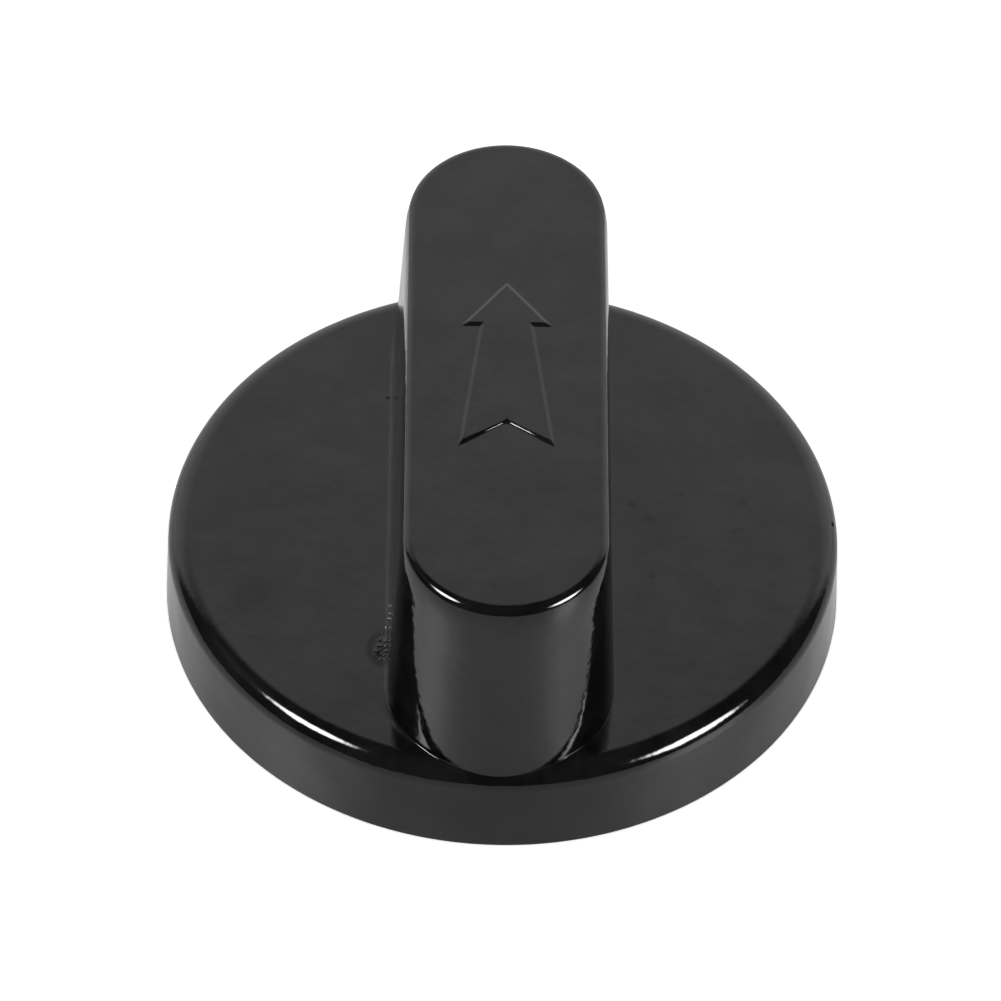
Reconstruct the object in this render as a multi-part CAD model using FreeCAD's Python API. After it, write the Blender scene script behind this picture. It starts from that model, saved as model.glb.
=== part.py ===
# Oven control knob: a die-cast body with a bar grip, and the leaf spring that holds it on its spindle.
# Millimetres and degrees. The origin is on the turning axis, in the plane of the rim that faces the panel.
# +Z points away from the panel, and +Y is where the arrow on the grip points.
import FreeCAD, Part
import math
import os
from FreeCAD import Vector

# Skirted disc
base_diameter = 54.0     # across the skirt, at the rim that faces the panel
disc_height = 7.8        # from the rim to the disc's top face
side_draft = 2.5         # lean of the skirt's side
edge_round = 1.7         # round between the skirt's side and the top face
rim_chamfer = 0.15       # on the rim's outer corner
skirt_wall = 2.0         # thickness of the skirt
plate_thickness = 2.2    # thickness of the disc under its top face
hollow_chamfer = 1.0     # inside corner between the skirt and the plate

# Bar grip
knob_height = 25.4       # from the rim to the grip's top face
grip_width = 15.75       # across the grip's top face
grip_setback = 0.75      # from the rim's edge in to the foot of the grip, at each end
grip_draft = 3.4         # lean of the grip's walls
grip_round = 0.7         # round on the edge of the grip's top face
foot_round = 0.2         # hollow round where the grip meets the disc
grip_wall = 2.0          # thickness of the grip's walls
grip_roof = 2.4          # thickness under the grip's top face
pocket_chamfer = 1.2     # inside corner between the grip's walls and its roof

# Raised arrow on the grip
arrow_height = 0.25
arrow_length = 17.1      # from the tip to the tail's corners
arrow_shift = 0.55       # from the turning axis to the middle of the arrow
head_length = 4.4        # from the tip to the barbs
head_width = 6.6         # across the barbs
neck_width = 3.9         # shaft, where it meets the head
tail_width = 7.1         # shaft, at the tail's corners
notch_depth = 2.35       # V cut into the tail
arrow_chamfer = 0.2      # on the arrow's upper edges

# Boss and its socket for a spindle with one flat
spindle_diameter = 8.0
flat_cut = 1.5           # how much of the spindle the flat takes away
socket_clearance = 0.05  # between the spindle and the socket, all round
socket_depth = 14.0
mouth_chamfer = 0.5      # lead-in at the socket's mouth
boss_wall = 3.0          # round the socket
boss_recess = 1.0        # from the rim's plane up to the boss's end face
boss_draft = 1.0
web_thickness = 1.6      # the two webs that run from the boss to the skirt
web_recess = 2.4         # from the rim's plane up to the webs' lower edge

# Leaf spring that presses on the spindle's flat
leaf_thickness = 0.4
leaf_width = 4.8
leaf_press = 0.2         # how far the bow stands into the place of the spindle
bow_length = 9.0         # the bowed stretch, from one flat end to the other
bow_height = 1.0         # how far the bow stands off the slot's back wall
tang_length = 1.0        # the straight end above the bow
hook_length = 2.0        # the end that is bent over the boss's end face
bend_radius = 0.6        # inside the hook's bend
slot_clearance = 0.1     # between the leaf's edges and the slot
slot_room = 0.5          # above the leaf, for it to lengthen when it is pressed flat

# Worked out from the sizes above
base_radius = base_diameter / 2
side_lean = math.tan(math.radians(side_draft))
grip_lean = math.tan(math.radians(grip_draft))
boss_lean = math.tan(math.radians(boss_draft))
plate_bottom = disc_height - plate_thickness
socket_radius = spindle_diameter / 2 + socket_clearance
flat_y = spindle_diameter / 2 - flat_cut + socket_clearance
slot_back_y = spindle_diameter / 2 - flat_cut - leaf_press + leaf_thickness + bow_height
slot_half_width = leaf_width / 2 + slot_clearance
hook_seat_z = boss_recess + leaf_thickness
bow_start_z = hook_seat_z + bend_radius
leaf_top_z = bow_start_z + bow_length + tang_length
touch = 1e-3             # how near a point lies to a surface that it is on


def grip_half_width(z):
    """Half the width of the grip at height z, which is also the radius of its round ends."""
    return grip_width / 2 + (knob_height - z) * grip_lean


# Middle of the grip's round ends
grip_end_y = base_radius - grip_setback - grip_half_width(disc_height)


def bar(z_low, z_high, inset):
    """Tapered bar with round ends that lies along Y, the grip's outside moved in by inset."""
    low = grip_half_width(z_low) - inset
    high = grip_half_width(z_high) - inset
    section = Part.makePolygon([
        Vector(-low, -grip_end_y, z_low),
        Vector(low, -grip_end_y, z_low),
        Vector(high, -grip_end_y, z_high),
        Vector(-high, -grip_end_y, z_high),
        Vector(-low, -grip_end_y, z_low),
    ])
    middle = Part.Face(section).extrude(Vector(0, 2 * grip_end_y, 0))
    ends = [
        Part.makeCone(low, high, z_high - z_low, Vector(0, y, z_low))
        for y in (-grip_end_y, grip_end_y)
    ]
    return middle.fuse(ends).removeSplitter()


def level_edges(shape, z):
    """The edges of a shape that lie wholly at height z."""
    return [
        edge for edge in shape.Edges
        if abs(edge.BoundBox.ZMin - z) < touch and abs(edge.BoundBox.ZMax - z) < touch
    ]


def leaning_disc(radius, height):
    """Disc on the rim's plane, with the skirt's lean."""
    return Part.makeCone(radius, radius - height * side_lean, height)


def skirted_disc():
    disc = leaning_disc(base_radius, disc_height)
    disc = disc.makeFillet(edge_round, level_edges(disc, disc_height))
    return disc.makeChamfer(rim_chamfer, level_edges(disc, 0))


def grip():
    outside = bar(plate_bottom, knob_height, 0)
    return outside.makeFillet(grip_round, level_edges(outside, knob_height))


def on_grip_wall(point):
    """True where a point lies on the grip's outer wall."""
    from_spine = math.hypot(point.x, max(abs(point.y) - grip_end_y, 0))
    return abs(from_spine - grip_half_width(point.z)) < touch


def foot_edges(shape):
    """The line along which the grip meets the disc's top face and its rounded edge."""
    found = []
    for edge in shape.Edges:
        first, last = edge.ParameterRange
        points = [edge.valueAt(first + (last - first) * share) for share in (0.2, 0.5, 0.8)]
        at_foot = all(point.z < disc_height + touch for point in points)
        if at_foot and all(on_grip_wall(point) for point in points):
            found.append(edge)
    return found


def arrow():
    """Raised arrow, sunk into the grip's roof so that it is one piece with it."""
    tip = arrow_shift + arrow_length / 2
    tail = tip - arrow_length
    barbs = tip - head_length
    right_side = [
        (0, tip),
        (head_width / 2, barbs),
        (neck_width / 2, barbs),
        (tail_width / 2, tail),
        (0, tail + notch_depth),
    ]
    left_side = [(-x, y) for x, y in right_side[-2:0:-1]]
    outline = right_side + left_side + right_side[:1]
    bottom = knob_height - arrow_height
    face = Part.Face(Part.makePolygon([Vector(x, y, bottom) for x, y in outline]))
    block = face.extrude(Vector(0, 0, 2 * arrow_height))
    return block.makeChamfer(arrow_chamfer, level_edges(block, knob_height + arrow_height))


def hollow():
    """Space under the plate, and the pocket that lightens the grip."""
    under = leaning_disc(base_radius - skirt_wall, plate_bottom)
    under = under.makeChamfer(hollow_chamfer, level_edges(under, plate_bottom))
    roof = knob_height - grip_roof
    pocket = bar(0, roof, grip_wall)
    pocket = pocket.makeChamfer(pocket_chamfer, level_edges(pocket, roof))
    return under.fuse(pocket)


def boss_and_webs():
    """Boss that carries the socket, up into the grip's roof, and webs that run into the skirt."""
    height = knob_height - grip_roof / 2 - boss_recess
    radius = socket_radius + boss_wall
    boss = Part.makeCone(radius, radius + height * boss_lean, height, Vector(0, 0, boss_recess))
    reach = base_radius - skirt_wall / 2
    corner = Vector(-reach, -web_thickness / 2, web_recess)
    webs = Part.makeBox(2 * reach, web_thickness, plate_bottom + plate_thickness / 2 - web_recess, corner)
    return boss.fuse(webs)


def spindle_socket():
    """Round hole with one flat side, and its lead-in."""
    round_hole = Part.makeCylinder(socket_radius, socket_depth, Vector(0, 0, boss_recess))
    corner = Vector(-socket_radius, -socket_radius, boss_recess)
    flat_side = Part.makeBox(2 * socket_radius, socket_radius + flat_y, socket_depth, corner)
    mouth_radius = socket_radius + mouth_chamfer
    mouth = Part.makeCone(mouth_radius, socket_radius, mouth_chamfer, Vector(0, 0, boss_recess))
    return round_hole.common(flat_side).fuse(mouth)


def arc(start, middle, end):
    return Part.Arc(start, middle, end).toShape()


def line(start, end):
    return Part.LineSegment(start, end).toShape()


def hook_bend():
    """Quarter round from the hook's seat to the slot's back wall."""
    half = math.radians(45)
    centre = Vector(0, slot_back_y + bend_radius, hook_seat_z + bend_radius)
    return arc(
        centre - Vector(0, 0, bend_radius),
        centre - Vector(0, math.sin(half), math.cos(half)) * bend_radius,
        centre - Vector(0, bend_radius, 0),
    )


def leaf_slot():
    """Slot beside the socket's flat, open to it, with a seat for the hook in the boss's end face."""
    slot_top_z = leaf_top_z + slot_room
    seat_end_y = slot_back_y + hook_length + slot_clearance
    bend = hook_bend()
    seat, wall = bend.Vertexes[0].Point, bend.Vertexes[-1].Point
    sides = [
        line(Vector(0, seat_end_y, hook_seat_z), seat),
        bend,
        line(wall, Vector(0, slot_back_y, slot_top_z)),
        line(Vector(0, slot_back_y, slot_top_z), Vector(0, 0, slot_top_z)),
        line(Vector(0, 0, slot_top_z), Vector(0, 0, boss_recess)),
        line(Vector(0, 0, boss_recess), Vector(0, seat_end_y, boss_recess)),
        line(Vector(0, seat_end_y, boss_recess), Vector(0, seat_end_y, hook_seat_z)),
    ]
    section = Part.Face(Part.Wire(sides))
    section.translate(Vector(-slot_half_width, 0, 0))
    return section.extrude(Vector(2 * slot_half_width, 0, 0))


def bow_point(share):
    """Point on the leaf's back: the bow is two equal arcs out and two back, which meet smoothly."""
    turn = 2 * math.atan(2 * bow_height / bow_length)
    radius = bow_length / (4 * math.sin(turn))
    angle = turn * min(share, 1 - share) * 4
    along = radius * math.sin(min(angle, 2 * turn - angle))
    away = radius * (1 - math.cos(min(angle, 2 * turn - angle)))
    if angle > turn:
        along = bow_length / 2 - along
        away = bow_height - away
    if share > 0.5:
        along = bow_length - along
    return Vector(0, slot_back_y - away, bow_start_z + along)


def spring_clip():
    """Strip bent to a hook, a bow and a straight end, with its back against the slot."""
    bend = hook_bend()
    seat = bend.Vertexes[0].Point
    bow_end = bow_point(1)
    back = Part.Wire([
        line(Vector(0, slot_back_y + hook_length, hook_seat_z), seat),
        bend,
        arc(bow_point(0), bow_point(1 / 8), bow_point(1 / 4)),
        arc(bow_point(1 / 4), bow_point(1 / 2), bow_point(3 / 4)),
        arc(bow_point(3 / 4), bow_point(7 / 8), bow_end),
        line(bow_end, bow_end + Vector(0, 0, tang_length)),
    ])
    strip = back.makeOffset2D(-leaf_thickness, 0, True, True)
    strip.translate(Vector(-leaf_width / 2, 0, 0))
    return strip.extrude(Vector(leaf_width, 0, 0))


def knob_body():
    outside = skirted_disc().fuse(grip()).removeSplitter()
    outside = outside.makeFillet(foot_round, foot_edges(outside))
    shell = outside.cut(hollow())
    inside = boss_and_webs().common(outside)
    body = shell.fuse([inside, arrow()]).cut([spindle_socket(), leaf_slot()])
    return body.removeSplitter()


os.makedirs("parts", exist_ok=True)
knob_body().exportStep("parts/knob_body.step")
spring_clip().exportStep("parts/spring_clip.step")
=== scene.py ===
import math

import bmesh
import bpy
from mathutils import Matrix, Vector


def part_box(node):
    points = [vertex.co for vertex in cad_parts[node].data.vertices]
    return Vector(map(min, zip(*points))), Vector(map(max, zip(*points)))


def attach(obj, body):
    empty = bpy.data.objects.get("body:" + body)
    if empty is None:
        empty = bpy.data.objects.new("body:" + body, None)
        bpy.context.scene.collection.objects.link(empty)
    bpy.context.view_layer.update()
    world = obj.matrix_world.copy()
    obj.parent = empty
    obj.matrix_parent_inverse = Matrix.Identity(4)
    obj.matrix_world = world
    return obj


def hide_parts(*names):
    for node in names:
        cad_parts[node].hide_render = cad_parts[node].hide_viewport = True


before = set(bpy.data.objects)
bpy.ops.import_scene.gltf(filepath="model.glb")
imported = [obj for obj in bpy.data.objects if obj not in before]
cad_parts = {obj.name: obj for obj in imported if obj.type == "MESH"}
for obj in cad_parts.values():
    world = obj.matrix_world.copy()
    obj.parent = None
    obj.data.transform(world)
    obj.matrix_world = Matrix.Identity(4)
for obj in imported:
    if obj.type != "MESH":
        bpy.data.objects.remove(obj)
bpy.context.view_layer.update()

MM = 0.001

# Camera, from a fit to the photograph's outline
CAMERA_ELEVATION = math.radians(47.554)
CAMERA_ROLL = math.radians(1.291)
CAMERA_TURN = math.radians(-0.825)
CAMERA_DISTANCE = 478.8 * MM
CAMERA_TARGET = Vector((-0.257, 2.594, 7.37)) * MM
CAMERA_CLIP = (0.01, 20)
FOCAL_PIXELS = 5983.1
PICTURE_PIXELS = 1001
SENSOR_WIDTH = 36.0

# Casting, in millimetres and degrees; its radius and height are the frame's
body_low, body_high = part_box("knob_body")
SOLID_ARROW_HEIGHT = 0.25
BASE_RADIUS = (body_high.x - body_low.x) / 2 / MM
KNOB_HEIGHT = body_high.z / MM - SOLID_ARROW_HEIGHT
DISC_HEIGHT = 7.8
SIDE_DRAFT = math.radians(2.5)
EDGE_ROUND = 1.7
RIM_ROUND = 0.15
GRIP_WIDTH = 15.9
GRIP_LENGTH = 50.8
GRIP_DRAFT = math.radians(3.0)
END_DRAFT = math.radians(2.3)
GRIP_LEAN = math.radians(0.6)   # tilt of the whole grip towards +X
SIDE_ROUND = 0.6                # round of the grip's top edge along its sides
END_ROUND = 0.8                 # and at the tips of its ends
SOFT_FROM = math.radians(74)    # lean at which that round starts to run out
SOFT_LENGTH = 2.6               # how far it runs out down the wall
FOOT_REACHES = (0.55, 0.08)     # from the grip's foot to the end of its hollow round, left and right
FOOT_RISE = 0.28                # height of that round up the wall, as a share of its reach

# Arrow on the grip, in millimetres
ARROW_HEIGHT = 0.125
ARROW_LENGTH = 17.1
ARROW_SHIFT = 0.55
HEAD_LENGTH = 4.4
HEAD_WIDTH = 6.6
NECK_WIDTH = 3.9
TAIL_WIDTH = 7.1
NOTCH_DEPTH = 2.35
ARROW_CORNER = 0.12             # round of the outline's corners
FLANK_SLOPE = math.radians(28)
STRAIGHT_SHARE = 0.25           # share of the flank's height between the rounds at its foot and top
NOTCH_SLOPES = (math.radians(45), math.radians(36))   # left and right of the notch's inner corner
NOTCH_START = (0.1, 0.25)       # distances from that corner over which those slopes start
NOTCH_REACH = (1.4, 2.26)       # distances at which they start to run out, left and right
NOTCH_END = 3.4                 # and at which they have run out

# Hidden side, in millimetres
SKIRT_WALL = 2.0
PLATE_THICKNESS = 2.2
HOLLOW_CHAMFER = 1.0
GRIP_WALL = 2.0
GRIP_ROOF = 2.4
POCKET_CHAMFER = 1.2
BOSS_RADIUS = 7.05
BOSS_DRAFT = math.radians(1)
BOSS_RECESS = 1.0
SOCKET_RADIUS = 4.05
SOCKET_DEPTH = 14.0
FLAT_Y = 2.55
MOUTH_CHAMFER = 0.5
SLOT_HALF_WIDTH = 2.5
SLOT_BACK_Y = 3.7
SLOT_TOP = 12.5
SEAT_END_Y = 5.8
SEAT_Z = 1.4
SEAT_BEND = 0.6
WEB_THICKNESS = 1.6
WEB_RECESS = 2.4

# Flaws, in millimetres: x, y and radius on the disc's top, or y, z and radius on the grip's left wall
# raised nibs in the enamel; grey metal is painted on and round them as a painted highlight
NIBS = (
    (-9.14, -11.4, 0.12), (-9.45, -12.0, 0.09), (-9.2, -12.7, 0.06), (-9.2, -13.4, 0.06),
    (-10.04, -13.78, 0.05), (-10.0, -14.17, 0.06), (-9.82, -14.49, 0.05), (-9.6, -14.7, 0.06),
    (-9.25, -14.74, 0.08), (8.88, -12.8, 0.06), (8.88, -14.9, 0.05), (8.88, -17.4, 0.06),
)
WALL_NIBS = ((-12.95, 12.1, 0.11), (-13.55, 11.9, 0.11), (-12.5, 10.1, 0.15))
NIB_STANDOFF = 0.17            # from the wall to the middle of a nib there, in multiples of its radius
PITS = (
    (-9.35, 13.33, 0.16), (-9.3, 9.6, 0.08), (14.2, 3.1, 0.06),
    (-9.56, -12.85, 0.15), (-9.68, -14.1, 0.18), (-9.35, -13.4, 0.1),
)
NICK = (26.34, 0.6, 0.32)
PIT_FLATNESS = 0.5              # depth of the pits and the nick, as a share of their radius
DULL_SPOTS = (
    (10.45, 2.1, 1.2), (11.5, 0.3, 1.4), (18.85, 2.24, 0.8), (18.7, -0.68, 0.8),
    (12.1, -5.8, 0.9), (-19.8, -8.0, 3.8), (0.5, -22.3, 3.4),
)
BLISTER_PLACE = (-9.0, -13.65)
BLISTER_SIZE = (1.95, 2.2)

# Fineness of the mesh: points round the knob, and steps along each stretch from the grip's top to the rim
STATIONS = 480
EDGE_STEPS = 12
RUN_OUT_STEPS = 8
WALL_STEPS = 4
FOOT_STEPS = 5
DISC_STEPS = 5
DISC_EDGE_STEPS = 16
SKIRT_STEPS = 3
RIM_STEPS = 6
ARROW_SPACING = 0.2             # between the points of the arrow's outline, in millimetres
CORNER_STEPS = 6                # round each of its corners
FLANK_STEPS = 5                 # along each round of its flanks
BOSS_SIDES = 96
SOCKET_STEPS = 72
BEND_STEPS = 8                  # round the bend of the spring's seat
BALL_FINENESS = 2
FOOT_HALVINGS = 40
HOLD = 0.03                     # from a round's edge to the ring that keeps the face beside it flat
CLEAR = 1.0                     # from a round's edge to the evenly spaced rings of a wall
LEAST_DISC = 4 * HOLD           # least length of the disc's top beyond the foot
CUT_BELOW = 1.0                 # how far the cutters reach below the rim
WELD = 0.0005                   # points closer than this are joined
SHARP_ANGLE = math.radians(32)

# Enamel: heights and wavelengths of its waves and of its orange peel, in metres
WAVE_HEIGHT = 40e-6
WAVE_LENGTH = 4.5e-3
PEEL_HEIGHT = 13e-6
PEEL_LENGTH = 0.9e-3
GRAIN_HEIGHT = 1e-6
GRAIN_LENGTH = 0.2e-3
WALL_WAVES = 1.9                # how much stronger all of them are on upright walls
FLAT_WAVES = 0.7                # how much weaker they are on level faces
LEAN_FADE = (0.1, 0.95)         # upward shares of the normal between the two
SKIRT_WAVES = 1.8               # how much stronger the waves are on the skirt's side
SKIRT_PEEL = 0.3                # and how much weaker the orange peel is there
SKIRT_FADE = (4.0, 6.5)         # heights in millimetres over which both end

# Enamel: greys and roughness, with the ranges of noise that they follow
ENAMEL_GREYS = (0.002, 0.011)
CLOUD_LENGTH = 5e-3
CLOUD_HARSHNESS = 0.7
CLOUD_RANGE = (0.35, 0.65)
GLOSS_ROUGHNESS = (0.05, 0.1)
GLOSS_LENGTH = 1.5e-3
GLOSS_RANGE = (0.3, 0.7)
# grey of the metal painted on the nibs as a painted highlight
PAINTED_GLINT_GREY = 0.12
PAINTED_GLINT_SPREAD = 1.4               # radius of the painted highlight round a nib, in multiples of the nib's own
PAINTED_GLINT_FADE = (0.02, 0.3)         # strengths of a nib's spot over which the painted highlight starts to show
DULL_ROUGHNESS = 0.38
DULL_WOBBLE = 1.6e-3            # how far the outlines of dull spots are bent, in metres
DULL_WAVE = 1.8e-3              # and the wavelength of that
BLISTER_ROUGHNESS = 0.5
BLISTER_FADE = (0.75, 1.0)      # shares of the blister's size over which it ends
WRINKLE_HEIGHT = 150e-6
WRINKLE_LENGTH = 0.4e-3
WRINKLE_ROUGHNESS = 0.25
WRINKLE_FADE = (0.35, 0.75)     # shares of the blister's size over which its wrinkles end

# Spring steel, brushed along its length
STEEL_COLOURS = ((0.42, 0.42, 0.44, 1), (0.66, 0.66, 0.68, 1))
STEEL_ROUGHNESS = (0.22, 0.38)
BRUSH_STRETCH = (1, 0.03, 0.03)
BRUSH_LENGTH = 0.08e-3
BRUSH_HEIGHT = 1e-6
BRUSH_RANGE = (0.3, 0.7)

# Studio: how the white wall fades, in multiples of its distance, and the floor with the light of its own
WALL_SIDE_FADE = (1.4, 2.2)
WALL_TOP_FADE = (0.75, 2.0)
WALL_LEAST = 0.01               # keeps directions beside the wall finite
STUDIO_DARK = 0.07
FLOOR_HALF = 1.5
FLOOR_GREY = 0.9
FLOOR_ROUGHNESS = 0.4
FLOOR_GLOW = 0.6
FLOOR_GLOW_MIRRORED = 0.12
LAMP_FADE = (0.4, 1.0)          # shares of a lamp's radius over which its light fades

side_lean = math.tan(SIDE_DRAFT)
grip_lean = math.tan(GRIP_DRAFT)
end_lean = math.tan(END_DRAFT)
plate_bottom = DISC_HEIGHT - PLATE_THICKNESS
round_sweep = math.pi / 2 - SIDE_DRAFT
flat_radius = BASE_RADIUS - DISC_HEIGHT * side_lean - EDGE_ROUND * math.tan(round_sweep / 2)


def between(start, end, count):
    """Evenly spaced numbers from start to end, both included."""
    return [start + (end - start) * i / count for i in range(count + 1)]


def grip_half_width(z):
    """Half the width of the grip at height z, which is also the radius of its round ends."""
    return GRIP_WIDTH / 2 + (KNOB_HEIGHT - z) * grip_lean


def grip_end(z):
    """From the axis to the middle of the grip's round ends, at height z."""
    return GRIP_LENGTH / 2 + (KNOB_HEIGHT - z) * end_lean - grip_half_width(z)


def grip_point(share, out, half, z):
    """Point at a distance from the grip's spine; share runs along the spine from -1 to 1."""
    spine = (z - KNOB_HEIGHT) * math.tan(GRIP_LEAN)
    return Vector((spine + out.x * half, share * grip_end(z) + out.y * half, z))


def disc_height_at(radius):
    """Height of the disc's upper surface, the edge round included."""
    past = min(max(radius - flat_radius, 0), EDGE_ROUND)
    return DISC_HEIGHT - EDGE_ROUND + math.sqrt(EDGE_ROUND ** 2 - past ** 2)


def disc_point(bearing, along):
    """Point of the disc's upper surface, counted along it from the axis in the direction of bearing."""
    turn = max(along - flat_radius, 0) / EDGE_ROUND
    radius = min(along, flat_radius) + EDGE_ROUND * math.sin(turn)
    z = DISC_HEIGHT - EDGE_ROUND * (1 - math.cos(turn))
    return Vector((bearing.x * radius, bearing.y * radius, z))


def stations(half, end):
    """Places on the spine and outward directions of a bar with round ends, at even bearings."""
    for i in range(STATIONS):
        angle = 2 * math.pi * i / STATIONS
        c, s = math.cos(angle), math.sin(angle)
        if half * abs(s) <= end * abs(c):
            yield half * s / abs(c) / end, Vector((math.copysign(1, c), 0))
        else:
            reach = abs(s) * end + math.sqrt(half ** 2 - (end * c) ** 2)
            share = math.copysign(1, s)
            yield share, (Vector((c, s)) * reach - Vector((0, share * end))) / half


def foot_height(share, out):
    """Height at which the grip's wall meets the disc, by halving."""
    low, high = DISC_HEIGHT - EDGE_ROUND, DISC_HEIGHT
    for _ in range(FOOT_HALVINGS):
        z = (low + high) / 2
        if disc_height_at(grip_point(share, out, grip_half_width(z), z).xy.length) > z:
            low = z
        else:
            high = z
    return high


def edge_profile(edge_round):
    """Half widths and heights along the grip's edge round, from the top face down to the wall."""
    end = math.pi / 2 - GRIP_DRAFT
    steps = []
    for i in range(EDGE_STEPS):
        steps.append((edge_round * SOFT_FROM / EDGE_STEPS, SOFT_FROM * (i + 0.5) / EDGE_STEPS))
    for i in range(RUN_OUT_STEPS):
        left = 1 - (i + 0.5) / RUN_OUT_STEPS
        steps.append((SOFT_LENGTH / RUN_OUT_STEPS, end - (end - SOFT_FROM) * left ** 2))
    places = [(0, 0)]
    for length, lean in steps:
        run, drop = places[-1]
        places.append((run + length * math.cos(lean), drop + length * math.sin(lean)))
    run, drop = places[-1]
    start = grip_half_width(KNOB_HEIGHT - drop) - run
    return [(start - HOLD, KNOB_HEIGHT)] + [(start + run, KNOB_HEIGHT - drop) for run, drop in places]


def wall_heights(top, bottom, steps):
    """Heights of the rings on a wall between two rounds."""
    return [top - HOLD] + between(top - CLEAR, bottom + CLEAR, steps) + [bottom + HOLD]


def column(share, out):
    """Points of the outside from the grip's top face down to the rim, at one station."""
    edge_round = SIDE_ROUND + (END_ROUND - SIDE_ROUND) * abs(out.y)
    points = [grip_point(share, out, half, z) for half, z in edge_profile(edge_round)]
    foot_z = foot_height(share, out)
    foot_reach = FOOT_REACHES[0] + (FOOT_REACHES[1] - FOOT_REACHES[0]) * (1 + out.x) / 2
    wall_foot = foot_z + foot_reach * FOOT_RISE
    for z in wall_heights(points[-1].z, wall_foot, WALL_STEPS):
        points.append(grip_point(share, out, grip_half_width(z), z))
    # hollow round at the foot
    foot = grip_point(share, out, grip_half_width(foot_z), foot_z)
    bearing = foot.xy.normalized()
    radius = foot.xy.length
    along = min(radius, flat_radius)
    along += EDGE_ROUND * math.asin(max(radius - flat_radius, 0) / EDGE_ROUND)
    foot_end = along + foot_reach / out.dot(bearing)
    upper = grip_point(share, out, grip_half_width(wall_foot), wall_foot)
    lower = disc_point(bearing, foot_end)
    for part in between(0, 1, FOOT_STEPS):
        points.append(upper.lerp(foot, part).lerp(foot.lerp(lower, part), part))
    # disc's top face and its rounded edge
    flat_end = max(flat_radius, foot_end + LEAST_DISC)
    round_end = flat_radius + EDGE_ROUND * round_sweep
    places = between(foot_end + HOLD, flat_end - HOLD, DISC_STEPS)
    places += between(flat_end, round_end, DISC_EDGE_STEPS)
    points += [disc_point(bearing, along) for along in places]
    # skirt's side and the small round at the rim
    rim_centre = BASE_RADIUS - RIM_ROUND * (1 + math.sin(SIDE_DRAFT)) / math.cos(SIDE_DRAFT)
    rim_top = RIM_ROUND * (1 + math.sin(SIDE_DRAFT))
    for z in wall_heights(points[-1].z, rim_top, SKIRT_STEPS):
        points.append((bearing * (BASE_RADIUS - z * side_lean)).to_3d() + Vector((0, 0, z)))
    for lean in between(SIDE_DRAFT, -math.pi / 2, RIM_STEPS):
        rim = bearing * (rim_centre + RIM_ROUND * math.cos(lean))
        points.append(Vector((rim.x, rim.y, RIM_ROUND * (1 + math.sin(lean)))))
    return points


def arrow_corners():
    """Corners of the arrow's outline, clockwise from its tip."""
    tip = ARROW_SHIFT + ARROW_LENGTH / 2
    tail = tip - ARROW_LENGTH
    barbs = tip - HEAD_LENGTH
    right = [
        (0, tip),
        (HEAD_WIDTH / 2, barbs),
        (NECK_WIDTH / 2, barbs),
        (TAIL_WIDTH / 2, tail),
        (0, tail + NOTCH_DEPTH),
    ]
    left = [(-x, y) for x, y in right[-2:0:-1]]
    return [Vector(corner) for corner in right + left]


def rounded_outline(corners, radius, spacing):
    """Points along a clockwise outline with rounded corners, and how far each moves per unit of offset."""
    found = []
    for before, corner, after in zip(corners[-1:] + corners[:-1], corners, corners[1:] + corners[:1]):
        arriving = (corner - before).normalized()
        leaving = (after - corner).normalized()
        turn = arriving.angle_signed(leaving)
        reach = radius * math.tan(abs(turn) / 2)
        side = math.copysign(1, turn)
        out = Vector((-arriving.y, arriving.x))
        out_after = Vector((-leaving.y, leaving.x))
        mitre = (out + out_after) / (1 + out.dot(out_after))
        centre = corner - arriving * reach - out * side * radius
        for share in between(0, 1, CORNER_STEPS):
            spoke = Matrix.Rotation(-turn * share, 2) @ out
            found.append((centre + spoke * side * radius, mitre))
        # straight stretch up to where the next corner's round starts; an offset makes it longer or shorter
        further = corners[(corners.index(after) + 1) % len(corners)]
        next_turn = leaving.angle_signed((further - after).normalized())
        start = corner + leaving * reach
        end = after - leaving * radius * math.tan(abs(next_turn) / 2)
        steps = max(int((end - start).length / spacing), 1)
        for i in range(1, steps):
            share = i / steps
            slide = math.tan(next_turn / 2) * share - math.tan(turn / 2) * (1 - share)
            found.append((start.lerp(end, share), out_after + leaving * slide))
    return found


def flank_slope(place):
    """Slope of the arrow's flank, which is steeper in the notch."""
    corner = Vector((0, ARROW_SHIFT - ARROW_LENGTH / 2 + NOTCH_DEPTH))
    away = (place - corner).length
    side = 1 if place.x > 0 else 0
    started = (away - NOTCH_START[0]) / (NOTCH_START[1] - NOTCH_START[0])
    left = (NOTCH_END - away) / (NOTCH_END - NOTCH_REACH[side])
    share = min(max(min(started, left), 0), 1)
    return FLANK_SLOPE + (NOTCH_SLOPES[side] - FLANK_SLOPE) * share


def flank_profile(slope):
    """Offsets from the arrow's outline and heights, from the flank's foot up to the arrow's top."""
    radius = ARROW_HEIGHT * (1 - STRAIGHT_SHARE) / 2 / (1 - math.cos(slope))
    run = ARROW_HEIGHT * STRAIGHT_SHARE / math.tan(slope)
    start = run / 2 + radius * math.sin(slope)
    lower = [
        (start - radius * math.sin(lean), radius * (1 - math.cos(lean)))
        for lean in between(0, slope, FLANK_STEPS)
    ]
    upper = [(-offset, ARROW_HEIGHT - height) for offset, height in reversed(lower)]
    top = upper[-1][0]
    return [(start + HOLD, 0)] + lower + upper + [(top - HOLD, ARROW_HEIGHT)]


def add_loops(mesh, loops):
    """Rows of vertices joined into quads, each row a closed loop."""
    rows = [[mesh.verts.new(point) for point in loop] for loop in loops]
    for upper, lower in zip(rows, rows[1:]):
        for i in range(len(upper)):
            j = (i + 1) % len(upper)
            mesh.faces.new((upper[i], lower[i], lower[j], upper[j]))
    return rows


def loop_edges(mesh, row):
    """Edges of a closed loop of vertices."""
    return [mesh.edges.get((row[i - 1], row[i])) for i in range(len(row))]


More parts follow.
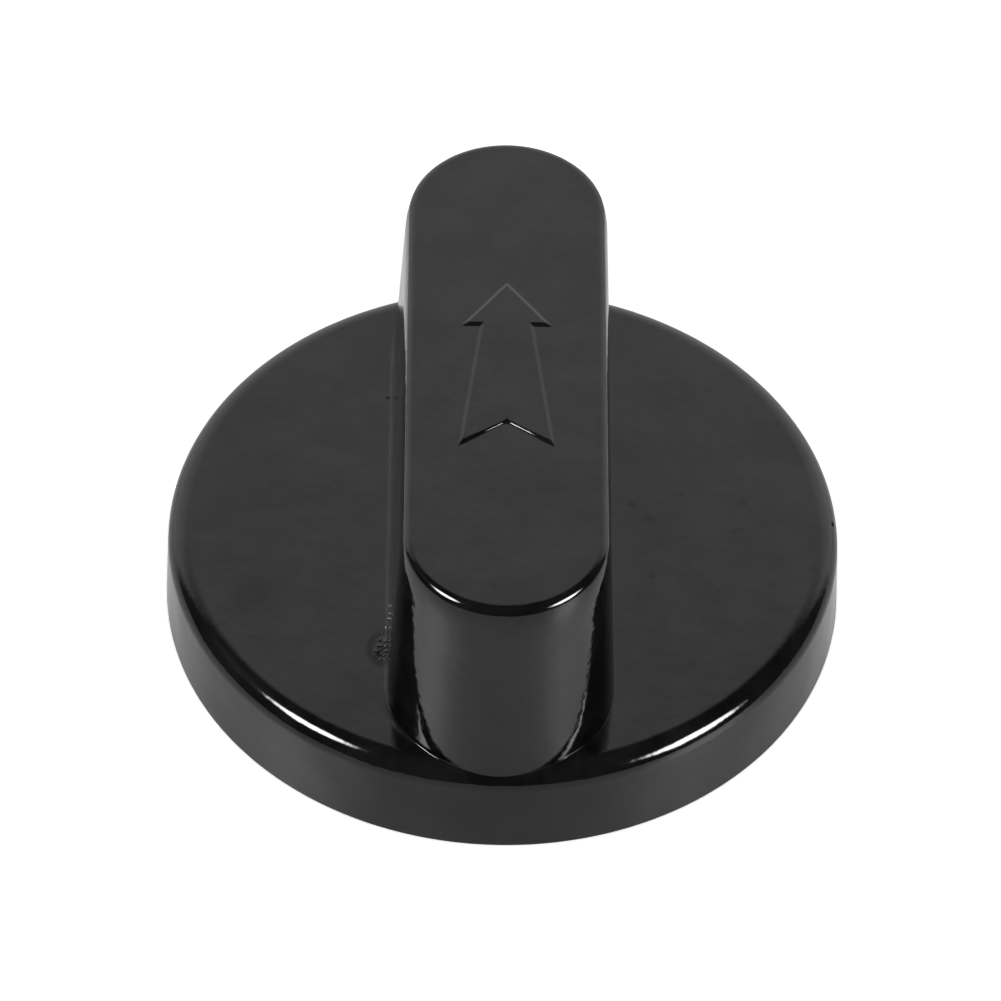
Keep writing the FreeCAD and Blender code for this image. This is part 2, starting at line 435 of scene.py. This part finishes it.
def outside_mesh():
    """Closed solid of the knob's outside, with a flat underside."""
    mesh = bmesh.new()
    at_foot = stations(grip_half_width(DISC_HEIGHT), grip_end(DISC_HEIGHT))
    columns = [column(share, out) for share, out in at_foot]
    rows = add_loops(mesh, list(zip(*columns)))
    mesh.faces.new(reversed(rows[-1]))
    flanks = []
    for place, move in reversed(rounded_outline(arrow_corners(), ARROW_CORNER, ARROW_SPACING)):
        profile = reversed(flank_profile(flank_slope(place)))
        flanks.append([(*(place + move * run), KNOB_HEIGHT + rise) for run, rise in profile])
    flank = add_loops(mesh, list(zip(*flanks)))
    fill = {"use_beauty": True, "normal": Vector((0, 0, 1))}
    round_arrow = loop_edges(mesh, rows[0]) + loop_edges(mesh, flank[-1])
    bmesh.ops.triangle_fill(mesh, edges=round_arrow, **fill)
    bmesh.ops.triangle_fill(mesh, edges=loop_edges(mesh, flank[0]), **fill)
    bmesh.ops.recalc_face_normals(mesh, faces=mesh.faces)
    return mesh


def new_object(name, mesh):
    """Object from a mesh in millimetres."""
    data = bpy.data.meshes.new(name)
    bmesh.ops.scale(mesh, vec=(MM, MM, MM), verts=mesh.verts)
    mesh.to_mesh(data)
    mesh.free()
    made = bpy.data.objects.new(name, data)
    bpy.context.collection.objects.link(made)
    return made


def prism(loops):
    """Closed solid from stacked loops of points, the lowest one first."""
    mesh = bmesh.new()
    rows = add_loops(mesh, loops)
    mesh.faces.new(rows[0])
    mesh.faces.new(reversed(rows[-1]))
    bmesh.ops.recalc_face_normals(mesh, faces=mesh.faces)
    return mesh


def circle(radius, z, count):
    """Points of a level circle round the axis."""
    turns = [2 * math.pi * i / count for i in range(count)]
    return [Vector((radius * math.cos(turn), radius * math.sin(turn), z)) for turn in turns]


def hollow_cutter():
    """Space under the plate."""
    inner = BASE_RADIUS - SKIRT_WALL
    bend = plate_bottom - HOLLOW_CHAMFER
    top = inner - plate_bottom * side_lean - HOLLOW_CHAMFER
    return prism([
        circle(inner + CUT_BELOW * side_lean, -CUT_BELOW, STATIONS),
        circle(inner - bend * side_lean, bend, STATIONS),
        circle(top, plate_bottom, STATIONS),
    ])


def pocket_cutter():
    """Pocket that lightens the grip."""
    roof = KNOB_HEIGHT - GRIP_ROOF
    bend = roof - POCKET_CHAMFER
    loops = []
    for z, inset in ((-CUT_BELOW, GRIP_WALL), (bend, GRIP_WALL), (roof, GRIP_WALL + POCKET_CHAMFER)):
        half = grip_half_width(z) - inset
        loops.append([grip_point(share, out, half, z) for share, out in stations(half, grip_end(z))])
    return prism(loops)


def boss():
    """Round boss that holds the socket."""
    top = KNOB_HEIGHT - GRIP_ROOF / 2
    widest = BOSS_RADIUS + (top - BOSS_RECESS) * math.tan(BOSS_DRAFT)
    return prism([circle(BOSS_RADIUS, BOSS_RECESS, BOSS_SIDES), circle(widest, top, BOSS_SIDES)])


def webs():
    """Upright web through the axis, from one side of the skirt to the other."""
    reach = BASE_RADIUS - SKIRT_WALL / 2
    half = WEB_THICKNESS / 2
    corners = [(-reach, -half), (reach, -half), (reach, half), (-reach, half)]
    heights = (WEB_RECESS, plate_bottom + PLATE_THICKNESS / 2)
    return prism([[Vector((x, y, z)) for x, y in corners] for z in heights])


def socket_cutter():
    """Round hole with one flat side."""
    side = math.sqrt(SOCKET_RADIUS ** 2 - FLAT_Y ** 2)
    start = math.atan2(FLAT_Y, -side)
    sweep = 2 * math.pi - 2 * (start - math.pi / 2)
    turns = between(start, start + sweep, SOCKET_STEPS)
    ring = [(SOCKET_RADIUS * math.cos(turn), SOCKET_RADIUS * math.sin(turn)) for turn in turns]
    ends = (BOSS_RECESS - CUT_BELOW, BOSS_RECESS + SOCKET_DEPTH)
    return prism([[Vector((x, y, z)) for x, y in ring] for z in ends])


def mouth_cutter():
    """Lead-in at the socket's mouth."""
    widest = SOCKET_RADIUS + MOUTH_CHAMFER + CUT_BELOW
    return prism([
        circle(widest, BOSS_RECESS - CUT_BELOW, BOSS_SIDES),
        circle(SOCKET_RADIUS, BOSS_RECESS + MOUTH_CHAMFER, BOSS_SIDES),
    ])


def slot_cutter():
    """Slot beside the flat, with a rounded seat for the spring's hook."""
    bend_centre = Vector((SLOT_BACK_Y + SEAT_BEND, SEAT_Z + SEAT_BEND))
    below = BOSS_RECESS - CUT_BELOW
    section = [Vector((SEAT_END_Y, SEAT_Z))]
    for turn in between(0, math.pi / 2, BEND_STEPS):
        section.append(bend_centre - SEAT_BEND * Vector((math.sin(turn), math.cos(turn))))
    for corner in ((SLOT_BACK_Y, SLOT_TOP), (0, SLOT_TOP), (0, below), (SEAT_END_Y, below)):
        section.append(Vector(corner))
    sides = (-SLOT_HALF_WIDTH, SLOT_HALF_WIDTH)
    return prism([[Vector((x, point.x, point.y)) for point in section] for x in sides])


def on_disc(places):
    """Points on the disc's upper surface, with their radii."""
    return [(Vector((x, y, disc_height_at(math.hypot(x, y)))), radius) for x, y, radius in places]


def on_left_wall(places):
    """Points just outside the grip's left wall, with their radii."""
    left = Vector((-1, 0))
    found = []
    for y, z, radius in places:
        half = grip_half_width(z) + radius * NIB_STANDOFF
        found.append((grip_point(y / grip_end(z), left, half, z), radius))
    return found


nibs = on_disc(NIBS) + on_left_wall(WALL_NIBS)


def flaws(places, flatness):
    """Small balls, flattened in height."""
    mesh = bmesh.new()
    for place, radius in places:
        shape = Matrix.Translation(place) @ Matrix.Diagonal((radius, radius, radius * flatness, 1))
        bmesh.ops.create_icosphere(mesh, subdivisions=BALL_FINENESS, radius=1, matrix=shape)
    return mesh


def combine(body, operation, mesh):
    """Adds a solid to the body, or cuts it out."""
    tool = new_object("tool", mesh)
    modifier = body.modifiers.new("combine", "BOOLEAN")
    modifier.operation = operation
    modifier.solver = "EXACT"
    modifier.object = tool
    result = bpy.data.meshes.new_from_object(body.evaluated_get(bpy.context.evaluated_depsgraph_get()))
    body.modifiers.clear()
    body.data = result
    bpy.data.objects.remove(tool)


def weld(body):
    """Joins points that fell together and takes out faces without an area."""
    mesh = bmesh.new()
    mesh.from_mesh(body.data)
    bmesh.ops.remove_doubles(mesh, verts=mesh.verts, dist=WELD * MM)
    bmesh.ops.dissolve_degenerate(mesh, edges=mesh.edges, dist=WELD * MM)
    bmesh.ops.triangulate(mesh, faces=[face for face in mesh.faces if len(face.verts) > 4])
    bmesh.ops.dissolve_degenerate(mesh, edges=mesh.edges, dist=WELD * MM)
    mesh.to_mesh(body.data)
    mesh.free()


def make_casting():
    """Knob's body as one closed mesh, in place of the plainer CAD solid."""
    casting = new_object("knob_casting", outside_mesh())
    combine(casting, "UNION", flaws(nibs, 1.0))
    combine(casting, "DIFFERENCE", flaws(on_disc(PITS + (NICK,)), PIT_FLATNESS))
    combine(casting, "DIFFERENCE", hollow_cutter())
    combine(casting, "DIFFERENCE", pocket_cutter())
    combine(casting, "UNION", boss())
    combine(casting, "UNION", webs())
    combine(casting, "DIFFERENCE", socket_cutter())
    combine(casting, "DIFFERENCE", mouth_cutter())
    combine(casting, "DIFFERENCE", slot_cutter())
    weld(casting)
    casting.data.shade_smooth()
    casting.data.set_sharp_from_angle(angle=SHARP_ANGLE)
    casting.data.materials.clear()
    casting.data.materials.append(black_enamel())
    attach(casting, "root")
    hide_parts("knob_body")


def feed(tree, socket, value):
    """Gives an input its value, which is a constant or another node's output."""
    if isinstance(value, bpy.types.NodeSocket):
        tree.links.new(value, socket)
    else:
        socket.default_value = value


def math_node(tree, operation, first, second=0.0):
    """Output of a math node."""
    node = tree.nodes.new("ShaderNodeMath")
    node.operation = operation
    feed(tree, node.inputs[0], first)
    feed(tree, node.inputs[1], second)
    return node.outputs[0]


def vector_node(tree, operation, first, second=(0, 0, 0)):
    """Output of a vector math node."""
    node = tree.nodes.new("ShaderNodeVectorMath")
    node.operation = operation
    feed(tree, node.inputs[0], first)
    feed(tree, node.inputs[1], second)
    return node.outputs["Value" if operation in ("LENGTH", "DISTANCE") else "Vector"]


def map_range(tree, value, from_min, from_max, to_min, to_max):
    """Output of a smooth ramp between two values."""
    node = tree.nodes.new("ShaderNodeMapRange")
    node.interpolation_type = "SMOOTHSTEP"
    feed(tree, node.inputs["Value"], value)
    feed(tree, node.inputs["From Min"], from_min)
    feed(tree, node.inputs["From Max"], from_max)
    feed(tree, node.inputs["To Min"], to_min)
    feed(tree, node.inputs["To Max"], to_max)
    return node.outputs[0]


def noise(tree, coords, wavelength, detail, harshness=0.5, output="Fac"):
    """Output of a noise texture, from 0 to 1; harshness is the strength of its finer layers."""
    node = tree.nodes.new("ShaderNodeTexNoise")
    node.inputs["Scale"].default_value = 1 / wavelength
    node.inputs["Detail"].default_value = detail
    node.inputs["Roughness"].default_value = harshness
    feed(tree, node.inputs["Vector"], coords)
    return node.outputs[output]


def grey(level):
    """Colour with all its parts the same."""
    return (level, level, level, 1)


def colour_mix(tree, factor, first, second):
    """Output of a mix between two colours."""
    node = tree.nodes.new("ShaderNodeMix")
    node.data_type = "RGBA"
    feed(tree, node.inputs["Factor"], factor)
    feed(tree, node.inputs["A"], first)
    feed(tree, node.inputs["B"], second)
    return node.outputs["Result"]


def spots(tree, coords, places, peak):
    """Output of the strongest of round spots, each of which fades out from its middle."""
    strongest = None
    for place, radius in places:
        away = vector_node(tree, "DISTANCE", coords, place * MM)
        spot = map_range(tree, away, 0.0, radius * MM, peak, 0.0)
        strongest = math_node(tree, "MAXIMUM", strongest, spot) if strongest else spot
    return strongest


def bent(tree, coords, wavelength, amount):
    """Coordinates pushed about by noise, and flattened."""
    colour = noise(tree, coords, wavelength, detail=1, output="Color")
    centred = vector_node(tree, "SUBTRACT", colour, (0.5, 0.5, 0.5))
    push = vector_node(tree, "MULTIPLY", centred, (amount, amount, amount))
    pushed = vector_node(tree, "ADD", coords, push)
    return vector_node(tree, "MULTIPLY", pushed, (1, 1, 0))


def set_bump(tree, height):
    """Lets a height, in metres, shape the shader's surface."""
    bump = tree.nodes.new("ShaderNodeBump")
    bump.inputs["Strength"].default_value = 1.0
    bump.inputs["Distance"].default_value = 1.0
    feed(tree, bump.inputs["Height"], height)
    feed(tree, tree.nodes["Principled BSDF"].inputs["Normal"], bump.outputs["Normal"])


def upward_part(tree, vector):
    """Output with the Z of a vector."""
    node = tree.nodes.new("ShaderNodeSeparateXYZ")
    feed(tree, node.inputs[0], vector)
    return node.outputs["Z"]


def new_material(name):
    """Material with a node tree of its own."""
    material = bpy.data.materials.new(name)
    material.use_nodes = True
    return material, material.node_tree


def painted_glint_mask(tree, coords):
    """Output that is 1 on and round the nibs, where grey metal is painted as their highlight, and 0
    elsewhere.
    """
    places = [(place, radius * PAINTED_GLINT_SPREAD) for place, radius in nibs]
    return map_range(tree, spots(tree, coords, places, 1.0), *PAINTED_GLINT_FADE, 0.0, 1.0)


def enamel_colour(tree, coords, painted_glint):
    """Slightly cloudy black, with grey metal painted on the nibs as their highlight."""
    clouds = noise(tree, coords, CLOUD_LENGTH, detail=5, harshness=CLOUD_HARSHNESS)
    tone = map_range(tree, clouds, *CLOUD_RANGE, 0.0, 1.0)
    black = colour_mix(tree, tone, grey(ENAMEL_GREYS[0]), grey(ENAMEL_GREYS[1]))
    return colour_mix(tree, painted_glint, black, grey(PAINTED_GLINT_GREY))


def blister_reach(tree, coords):
    """Output with the distance from the blister's middle, in multiples of its size."""
    middle = (BLISTER_PLACE[0] * MM, BLISTER_PLACE[1] * MM, DISC_HEIGHT * MM)
    spread = (1 / (BLISTER_SIZE[0] * MM), 1 / (BLISTER_SIZE[1] * MM), 1 / MM)
    offset = vector_node(tree, "MULTIPLY", vector_node(tree, "SUBTRACT", coords, middle), spread)
    return vector_node(tree, "LENGTH", offset)


def enamel_roughness(tree, coords, reach, wrinkled):
    """Low and slightly uneven, higher on the blister and in the dull spots."""
    gloss = map_range(tree, noise(tree, coords, GLOSS_LENGTH, detail=2), *GLOSS_RANGE, *GLOSS_ROUGHNESS)
    blister = map_range(tree, reach, *BLISTER_FADE, BLISTER_ROUGHNESS, 0.0)
    smoothing = math_node(tree, "MULTIPLY", wrinkled, BLISTER_ROUGHNESS - WRINKLE_ROUGHNESS)
    places = [(Vector((x, y, 0)), radius) for x, y, radius in DULL_SPOTS]
    dull = spots(tree, bent(tree, coords, DULL_WAVE, DULL_WOBBLE), places, DULL_ROUGHNESS)
    dull = math_node(tree, "MAXIMUM", math_node(tree, "SUBTRACT", blister, smoothing), dull)
    return math_node(tree, "MAXIMUM", dull, gloss)


def enamel_height(tree, source, wrinkled):
    """Waves, orange peel and fine grain, by the face's lean and height, and the blister's wrinkles."""
    coords = source.outputs["Object"]
    waves = math_node(tree, "MULTIPLY", noise(tree, coords, WAVE_LENGTH, detail=0), WAVE_HEIGHT)
    peel = math_node(tree, "MULTIPLY", noise(tree, coords, PEEL_LENGTH, detail=1), PEEL_HEIGHT)
    grain = math_node(tree, "MULTIPLY", noise(tree, coords, GRAIN_LENGTH, detail=1), GRAIN_HEIGHT)
    fine = math_node(tree, "ADD", peel, grain)
    z = upward_part(tree, coords)
    skirt_end = [height * MM for height in SKIRT_FADE]
    waves = math_node(tree, "MULTIPLY", waves, map_range(tree, z, *skirt_end, SKIRT_WAVES, 1.0))
    fine = math_node(tree, "MULTIPLY", fine, map_range(tree, z, *skirt_end, SKIRT_PEEL, 1.0))
    lean = upward_part(tree, source.outputs["Normal"])
    by_lean = map_range(tree, lean, *LEAN_FADE, WALL_WAVES, FLAT_WAVES)
    height = math_node(tree, "MULTIPLY", math_node(tree, "ADD", waves, fine), by_lean)
    wrinkles = math_node(tree, "MULTIPLY", wrinkled, noise(tree, coords, WRINKLE_LENGTH, detail=1))
    return math_node(tree, "ADD", height, math_node(tree, "MULTIPLY", wrinkles, WRINKLE_HEIGHT))


def black_enamel():
    """Glossy black, slightly wavy, dull where it blistered, with grey metal painted on small raised nibs
    as their highlight.
    """
    material, tree = new_material("black_enamel")
    inputs = tree.nodes["Principled BSDF"].inputs
    source = tree.nodes.new("ShaderNodeTexCoord")
    coords = source.outputs["Object"]
    painted_glint = painted_glint_mask(tree, coords)
    reach = blister_reach(tree, coords)
    wrinkled = map_range(tree, reach, *WRINKLE_FADE, 1.0, 0.0)
    # metal on the nibs is a painted highlight, standing in for their glints
    feed(tree, inputs["Metallic"], painted_glint)
    feed(tree, inputs["Base Color"], enamel_colour(tree, coords, painted_glint))
    feed(tree, inputs["Roughness"], enamel_roughness(tree, coords, reach, wrinkled))
    set_bump(tree, enamel_height(tree, source, wrinkled))
    return material


def spring_steel():
    """Bare rolled strip, brushed along its length."""
    material, tree = new_material("spring_steel")
    inputs = tree.nodes["Principled BSDF"].inputs
    source = tree.nodes.new("ShaderNodeTexCoord")
    stretched = vector_node(tree, "MULTIPLY", source.outputs["Object"], BRUSH_STRETCH)
    lines = noise(tree, stretched, BRUSH_LENGTH, detail=2)
    feed(tree, inputs["Metallic"], 1.0)
    feed(tree, inputs["Base Color"], colour_mix(tree, lines, *STEEL_COLOURS))
    feed(tree, inputs["Roughness"], map_range(tree, lines, *BRUSH_RANGE, *STEEL_ROUGHNESS))
    set_bump(tree, math_node(tree, "MULTIPLY", lines, BRUSH_HEIGHT))
    return material


def dress(node, material):
    """Gives a CAD node its material."""
    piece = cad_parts[node]
    piece.data.materials.clear()
    piece.data.materials.append(material)


def make_camera():
    """Camera at the photograph's angle: it looks along +Y and down, with a slight turn and roll."""
    turn = Matrix.Rotation(CAMERA_TURN, 3, "Z")
    back = Vector((0, -math.cos(CAMERA_ELEVATION), math.sin(CAMERA_ELEVATION)))
    right = Vector((1, 0, 0))
    up = back.cross(right)
    rolled_right = math.cos(CAMERA_ROLL) * right + math.sin(CAMERA_ROLL) * up
    rolled_up = -math.sin(CAMERA_ROLL) * right + math.cos(CAMERA_ROLL) * up
    axes = [turn @ axis for axis in (rolled_right, rolled_up, back)]
    place = turn @ (CAMERA_TARGET + back * CAMERA_DISTANCE)
    data = bpy.data.cameras.new("camera")
    data.sensor_width = SENSOR_WIDTH
    data.lens = FOCAL_PIXELS * SENSOR_WIDTH / PICTURE_PIXELS
    data.clip_start, data.clip_end = CAMERA_CLIP
    camera = bpy.data.objects.new("camera", data)
    bpy.context.collection.objects.link(camera)
    camera.matrix_world = Matrix.Translation(place) @ Matrix(axes).transposed().to_4x4()
    bpy.context.scene.camera = camera


def seen_directly(tree, path):
    """Output that is 1 where the camera sees something with no mirror between, from a light path node."""
    return math_node(tree, "MAXIMUM", path.outputs["Is Camera Ray"], path.outputs["Is Transmission Ray"])


def make_floor():
    """Pale satin table top that shows white where nothing shades it."""
    data = bpy.data.meshes.new("floor")
    half = FLOOR_HALF
    corners = [(-half, -half, 0), (half, -half, 0), (half, half, 0), (-half, half, 0)]
    data.from_pydata(corners, [], [(0, 1, 2, 3)])
    floor = bpy.data.objects.new("floor", data)
    bpy.context.collection.objects.link(floor)
    material, tree = new_material("floor")
    inputs = tree.nodes["Principled BSDF"].inputs
    feed(tree, inputs["Base Color"], grey(FLOOR_GREY))
    feed(tree, inputs["Roughness"], FLOOR_ROUGHNESS)
    feed(tree, inputs["Emission Color"], grey(1))
    path = tree.nodes.new("ShaderNodeLightPath")
    direct = math_node(tree, "MULTIPLY", seen_directly(tree, path), FLOOR_GLOW)
    mirrored = math_node(tree, "MULTIPLY", path.outputs["Is Glossy Ray"], FLOOR_GLOW_MIRRORED)
    feed(tree, inputs["Emission Strength"], math_node(tree, "ADD", direct, mirrored))
    data.materials.append(material)


def make_world():
    """Studio with a white wall behind the knob, fading upwards and to its sides, and dark elsewhere."""
    world = bpy.data.worlds.new("studio")
    world.use_nodes = True
    tree = world.node_tree
    coords = tree.nodes.new("ShaderNodeTexCoord")
    split = tree.nodes.new("ShaderNodeSeparateXYZ")
    feed(tree, split.inputs[0], coords.outputs["Generated"])
    away = math_node(tree, "MAXIMUM", split.outputs["Y"], WALL_LEAST)
    across = math_node(tree, "ABSOLUTE", math_node(tree, "DIVIDE", split.outputs["X"], away))
    upward = math_node(tree, "DIVIDE", split.outputs["Z"], away)
    width = map_range(tree, across, *WALL_SIDE_FADE, 1.0, 0.0)
    height = map_range(tree, upward, *WALL_TOP_FADE, 1.0, 0.0)
    light = math_node(tree, "MAXIMUM", math_node(tree, "MULTIPLY", width, height), STUDIO_DARK)
    seen = seen_directly(tree, tree.nodes.new("ShaderNodeLightPath"))
    background = tree.nodes["Background"]
    feed(tree, background.inputs["Color"], grey(1))
    feed(tree, background.inputs["Strength"], math_node(tree, "MAXIMUM", light, seen))
    bpy.context.scene.world = world


def area_lamp(name, azimuth, elevation, distance, size, power):
    """Oval lamp, dimmer towards its edge, at an azimuth counted from the camera's side towards +X."""
    data = bpy.data.lights.new(name, "AREA")
    data.shape = "ELLIPSE"
    data.size, data.size_y = size
    data.energy = power
    lamp = bpy.data.objects.new(name, data)
    bpy.context.collection.objects.link(lamp)
    a, e = math.radians(azimuth), math.radians(elevation)
    place = Vector((math.sin(a) * math.cos(e), -math.cos(a) * math.cos(e), math.sin(e))) * distance
    lamp.location = place
    lamp.rotation_euler = place.to_track_quat("Z", "Y").to_euler()
    # coordinates on the lamp with 0 in its middle and 1 at its edge
    data.use_nodes = True
    tree = data.node_tree
    geometry = tree.nodes.new("ShaderNodeNewGeometry")
    centred = vector_node(tree, "SUBTRACT", geometry.outputs["Parametric"], (0.5, 0.5, 0))
    scaled = vector_node(tree, "MULTIPLY", centred, (2, 2, 0))
    glow = map_range(tree, vector_node(tree, "LENGTH", scaled), *LAMP_FADE, 1.0, 0.0)
    feed(tree, tree.nodes["Emission"].inputs["Strength"], glow)
    return lamp


def make_lamps():
    """Lamps that only mirror in the enamel, and one above the camera for the floor and the matt light."""
    mirrored = [
        area_lamp("lamp_left", azimuth=-69, elevation=47, distance=0.6, size=(0.30, 0.24), power=6.0),
        area_lamp(
            "lamp_left_spill", azimuth=-95, elevation=44, distance=0.6, size=(0.36, 0.35), power=0.035
        ),
        area_lamp("lamp_right", azimuth=60, elevation=29, distance=0.6, size=(0.38, 0.28), power=9.0),
    ]
    for lamp in mirrored:
        lamp.visible_diffuse = False
    above = area_lamp("lamp_above", azimuth=0, elevation=70, distance=0.8, size=(0.6, 0.6), power=5.5)
    above.visible_glossy = False


make_camera()
make_floor()
make_world()
make_lamps()
make_casting()
dress("spring_clip", spring_steel())
bpy.context.scene.view_settings.view_transform = "Standard"
